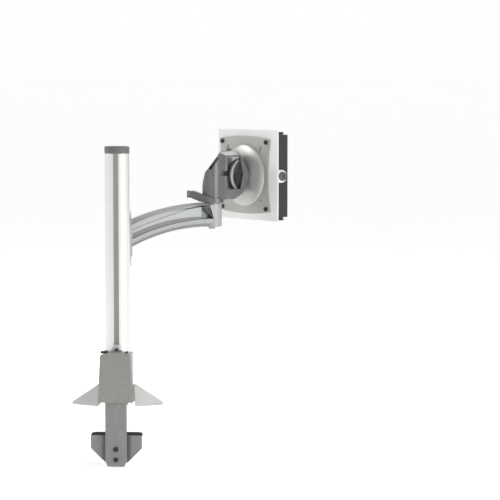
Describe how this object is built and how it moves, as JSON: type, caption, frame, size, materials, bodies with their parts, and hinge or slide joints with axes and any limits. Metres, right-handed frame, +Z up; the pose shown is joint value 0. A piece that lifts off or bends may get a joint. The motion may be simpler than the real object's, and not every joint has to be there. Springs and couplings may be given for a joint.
{
  "type": "monitor arm",
  "caption": "Desk-clamp monitor arm: column with sliding height, one swing arm, swivel and tilt knuckle, rotating plate and sideways quick release.",
  "frame": {"origin": "on the column's axis, at the desk top that the foot stands on", "axes": "+Z up along the column, +Y from the desk's edge over the desk, +X to the right seen from behind the desk's edge"},
  "size_m": [0.3088, 0.269, 0.4785],
  "materials": {
    "cast_silver": "satin silver powder coat",
    "column_alu": "satin anodised",
    "strip_grey": "matt",
    "cap_grey": "matt",
    "cover_grey": "fine matt texture",
    "clamp_steel": "fine grey powder coat",
    "rubber_black": "matt",
    "screw_black": "black oxide",
    "steel": "plain",
    "bush_plastic": "natural polymer",
    "arm_silver": "satin silver",
    "cover_silver": "silver, semi gloss",
    "knuckle_grey": "satin dark silver",
    "plate_silver": "satin silver",
    "dome_silver": "satin silver",
    "white_paint": "white powder coat",
    "dark_paint": "dark grey powder coat",
    "bright_screw": "nickel plated"
  },
  "bodies": {
    "base": {"base_casting": "cast_silver", "sole_pad": "rubber_black", "column_bolt": "steel", "column_gasket": "rubber_black", "set_screw": "bright_screw", "rear_cover": "cover_grey", "column_tube": "column_alu", "column_strip": "strip_grey", "column_cap": "cap_grey"},
    "clamp": {"clamp_post": "clamp_steel", "clamp_nut": "steel", "jaw_spacer": "steel", "lower_jaw": "clamp_steel", "jaw_pad": "rubber_black", "jaw_screws": "screw_black", "jaw_nuts": "steel"},
    "clamp_screw": {"clamp_screw": "steel"},
    "carriage": {"slider_block": "cast_silver", "glide_liner": "rubber_black", "t_nut": "steel", "carriage_screws": "screw_black", "pivot_pin": "steel", "thrust_washers": "rubber_black"},
    "arm": {"arm_body": "arm_silver", "side_cover_near": "cover_silver", "side_cover_far": "cover_silver", "arm_bushes": "bush_plastic", "head_spigot": "steel", "end_bolt": "bright_screw", "spigot_clip": "steel"},
    "knuckle": {"knuckle_housing": "knuckle_grey", "knuckle_bush": "bush_plastic", "tilt_axle": "steel"},
    "lever": {"release_lever": "knuckle_grey", "lever_tab": "knuckle_grey"},
    "tilt": {"tilt_hub": "plate_silver", "tilt_washers": "rubber_black", "rotate_shaft": "steel", "shaft_washer": "steel", "shaft_nut": "steel"},
    "plate": {"dome_cover": "dome_silver", "vesa_plate": "plate_silver", "plate_screws": "screw_black", "receiver": "white_paint"},
    "lock": {"lock_screw": "bright_screw"},
    "monitor_plate": {"slide_plate": "dark_paint"}
  },
  "joints": [
    {"name": "clamp_screw_turn", "type": "hinge", "parent": "base", "child": "clamp_screw", "pos_m": [0, -0.0283, 0.07], "axis": [0, 0, 1], "range_deg": [-7560, 5832]},
    {"name": "clamp_travel", "type": "slide", "parent": "base", "child": "clamp", "axis": [0, 0, 1], "range_m": [-0.026, 0.0198]},
    {"name": "height_slide", "type": "slide", "parent": "base", "child": "carriage", "axis": [0, 0, 1], "range_m": [-0.105, 0.06]},
    {"name": "arm_swing", "type": "hinge", "parent": "carriage", "child": "arm", "pos_m": [0, 0.042, 0.2375], "axis": [0, 0, 1], "range_deg": [-41, 156]},
    {"name": "head_swivel", "type": "hinge", "parent": "arm", "child": "knuckle", "pos_m": [0.1284, 0.12317, 0.3], "axis": [0, 0, 1], "range_deg": [-95, 80]},
    {"name": "release_lever_turn", "type": "hinge", "parent": "knuckle", "child": "lever", "pos_m": [0.1284, 0.12317, 0.2877], "axis": [0, 0, 1], "range_deg": [-25, 0]},
    {"name": "head_tilt", "type": "hinge", "parent": "knuckle", "child": "tilt", "pos_m": [0.16292, 0.15651, 0.325], "axis": [-0.6947, 0.7193, 0], "range_deg": [-25, 15]},
    {"name": "plate_rotate", "type": "hinge", "parent": "tilt", "child": "plate", "pos_m": [0.17443, 0.16763, 0.325], "axis": [0.7193, 0.6947, 0], "range_deg": [-90, 90]},
    {"name": "lock_screw_turn", "type": "hinge", "parent": "plate", "child": "lock", "pos_m": [0.23337, 0.12028, 0.325], "axis": [0.6947, -0.7193, 0], "range_deg": [0, 720]},
    {"name": "monitor_slide", "type": "slide", "parent": "plate", "child": "monitor_plate", "axis": [-0.6947, 0.7193, 0], "range_m": [0, 0.136]}
  ],
  "couplings": [
    {"joint": "clamp_screw_turn", "follows": "clamp_travel", "rad_per_m": 5026.5}
  ]
}
